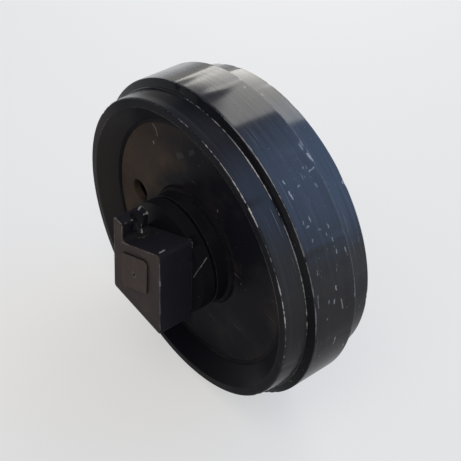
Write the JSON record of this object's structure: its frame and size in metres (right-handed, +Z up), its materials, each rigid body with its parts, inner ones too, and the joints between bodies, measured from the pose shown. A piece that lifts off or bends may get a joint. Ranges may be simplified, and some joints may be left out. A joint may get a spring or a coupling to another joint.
{
  "type": "excavator front idler",
  "caption": "Flanged, dished idler wheel of a tracked excavator that turns on an oil-filled shaft held between cast brackets with slide faces and tapped yoke holes.",
  "frame": {"origin": "centre of the wheel, on the shaft axis and midway between the two sides", "axes": "+Z up as the idler stands in the track frame, +Y along the shaft away from the side in the picture, +X to the front of the machine and -X to the tensioner yoke"},
  "size_m": [0.5599, 0.347, 0.56],
  "materials": {
    "rim_paint": "black semi-gloss paint over machined steel, worn at the edges",
    "disc_paint": "black semi-gloss paint on plate",
    "hub_paint": "black semi-gloss paint on a forging",
    "weld_paint": "black paint over weld beads",
    "bracket_paint": "black paint on a casting",
    "plug_steel": "black paint on small steel plugs",
    "ground_steel": "ground steel",
    "seal_iron": "lapped alloy iron",
    "bush_bronze": "bronze on a steel back",
    "black_rubber": "moulded rubber"
  },
  "bodies": {
    "carriage": {"shaft": "ground_steel", "near_fixed_seal_ring": "seal_iron", "far_fixed_seal_ring": "seal_iron", "near_fixed_toric": "black_rubber", "far_fixed_toric": "black_rubber", "near_shaft_oring": "black_rubber", "far_shaft_oring": "black_rubber", "near_bracket": "bracket_paint", "far_bracket": "bracket_paint", "near_lock_pin": "ground_steel", "far_lock_pin": "ground_steel", "near_pin_plug": "plug_steel", "far_pin_plug": "plug_steel", "near_oil_plug": "plug_steel", "far_oil_plug": "plug_steel"},
    "wheel": {"tread_rim": "rim_paint", "hub": "hub_paint", "near_side_disc": "disc_paint", "far_side_disc": "disc_paint", "near_rim_weld": "weld_paint", "far_rim_weld": "weld_paint", "near_hub_weld": "weld_paint", "far_hub_weld": "weld_paint", "near_bush": "bush_bronze", "far_bush": "bush_bronze", "near_rotating_seal_ring": "seal_iron", "far_rotating_seal_ring": "seal_iron", "near_rotating_toric": "black_rubber", "far_rotating_toric": "black_rubber"}
  },
  "joints": [
    {"name": "wheel_spin", "type": "hinge", "parent": "carriage", "child": "wheel", "pos_m": [0, 0, 0], "axis": [0, 1, 0], "continuous": true}
  ]
}
